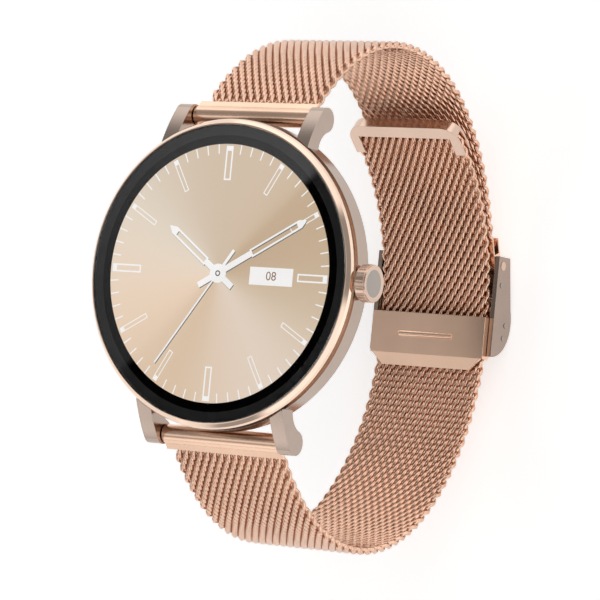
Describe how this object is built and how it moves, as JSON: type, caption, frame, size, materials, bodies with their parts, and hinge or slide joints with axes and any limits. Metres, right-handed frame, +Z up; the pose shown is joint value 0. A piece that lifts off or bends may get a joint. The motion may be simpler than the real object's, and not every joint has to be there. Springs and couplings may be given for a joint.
{
  "type": "smartwatch",
  "caption": "Round smartwatch with a fluted crown on a woven metal mesh strap, closed in a loop by a fold-over clasp.",
  "frame": {"origin": "middle of the flat sensor window on the back of the case", "axes": "+X points out through the crown at 3 o'clock, +Y to 12 o'clock, +Z up out of the dial"},
  "size_m": [0.046, 0.0754, 0.0672],
  "materials": {
    "case_steel": "satin rose-gold plating",
    "bright_steel": "polished rose-gold plating",
    "mesh_steel": "woven wire with rose-gold plating",
    "clasp_steel": "fine satin rose-gold plating",
    "plain_steel": "plain steel",
    "cover_glass": "clear with a black printed border",
    "display": "lit watch face",
    "seal": "matt",
    "inner_plastic": "moulded",
    "board": "solder mask",
    "battery_foil": "foil",
    "led": "clear resin",
    "sensor_glass": "gloss",
    "rear_plastic": "fine matt",
    "gold_contact": "gold plate"
  },
  "bodies": {
    "case": {"mid_case": "case_steel", "bezel_ring": "bright_steel", "cover_glass": "cover_glass", "glass_seal": "seal", "display_panel": "display", "display_flex": "inner_plastic", "inner_frame": "inner_plastic", "main_board": "board", "board_shields": "plain_steel", "battery": "battery_foil", "vibration_motor": "plain_steel", "sensor_board": "board", "sensor_leds": "led", "sensor_window": "sensor_glass", "rear_cover": "rear_plastic", "rear_seal": "seal", "rear_screws": "plain_steel", "charge_pins": "gold_contact", "crown_tube": "plain_steel", "crown_switch": "inner_plastic", "crown_spring": "plain_steel", "spring_bar_upper": "plain_steel", "spring_bar_lower": "plain_steel", "bar_springs_upper": "plain_steel", "bar_springs_lower": "plain_steel"},
    "crown_slider": {"crown_stem": "plain_steel", "crown_seal": "seal", "crown_clip": "plain_steel"},
    "crown": {"crown_knob": "case_steel"},
    "tip_ul": {"tip_upper_left": "plain_steel"},
    "tip_ur": {"tip_upper_right": "plain_steel"},
    "tip_ll": {"tip_lower_left": "plain_steel"},
    "tip_lr": {"tip_lower_right": "plain_steel"},
    "upper_strap": {"upper_end_tube": "bright_steel", "upper_mesh": "mesh_steel", "upper_end_fitting": "clasp_steel"},
    "lower_strap": {"lower_end_tube": "bright_steel", "lower_mesh": "mesh_steel", "tail_clip": "bright_steel", "clasp_box": "clasp_steel", "lock_pin": "bright_steel"},
    "cover": {"clasp_cover": "clasp_steel", "cover_pin": "bright_steel", "cover_rivets": "bright_steel"},
    "lock": {"lock_plate": "clasp_steel"}
  },
  "joints": [
    {"name": "crown_press", "type": "slide", "parent": "case", "child": "crown_slider", "axis": [-1, 0, 0], "range_m": [0, 0.00025], "stiffness_N_per_m": 1000, "springref_m": -0.0003, "deforming": ["crown_spring"]},
    {"name": "crown_turn", "type": "hinge", "parent": "crown_slider", "child": "crown", "pos_m": [0.0232, 0, 0.0078], "axis": [1, 0, 0], "continuous": true},
    {"name": "tip_upper_left_in", "type": "slide", "parent": "case", "child": "tip_ul", "axis": [1, 0, 0], "range_m": [0, 0.00095], "stiffness_N_per_m": 500, "springref_m": -0.001, "deforming": ["bar_springs_upper"]},
    {"name": "tip_upper_right_in", "type": "slide", "parent": "case", "child": "tip_ur", "axis": [-1, 0, 0], "range_m": [0, 0.00095], "stiffness_N_per_m": 500, "springref_m": -0.001},
    {"name": "tip_lower_left_in", "type": "slide", "parent": "case", "child": "tip_ll", "axis": [1, 0, 0], "range_m": [0, 0.00095], "stiffness_N_per_m": 500, "springref_m": -0.001, "deforming": ["bar_springs_lower"]},
    {"name": "tip_lower_right_in", "type": "slide", "parent": "case", "child": "tip_lr", "axis": [-1, 0, 0], "range_m": [0, 0.00095], "stiffness_N_per_m": 500, "springref_m": -0.001},
    {"name": "upper_strap_swing", "type": "hinge", "parent": "case", "child": "upper_strap", "pos_m": [0, 0.0229, 0.0045], "axis": [1, 0, 0], "range_deg": [0, 35]},
    {"name": "lower_strap_swing", "type": "hinge", "parent": "case", "child": "lower_strap", "pos_m": [0, -0.0229, 0.0045], "axis": [-1, 0, 0], "range_deg": [0, 10.6]},
    {"name": "cover_open", "type": "hinge", "parent": "upper_strap", "child": "cover", "pos_m": [0, 0.00813, -0.05229], "axis": [1, 0, 0], "range_deg": [0, 85]},
    {"name": "lock_open", "type": "hinge", "parent": "lower_strap", "child": "lock", "pos_m": [0, 0.00256, -0.05286], "axis": [1, 0, 0], "range_deg": [0, 38.4]}
  ],
  "couplings": [
    {"joint": "lower_strap_swing", "follows": "upper_strap_swing", "ratio": 0.3},
    {"joint": "lock_open", "follows": "cover_open", "ratio": 0.45}
  ]
}
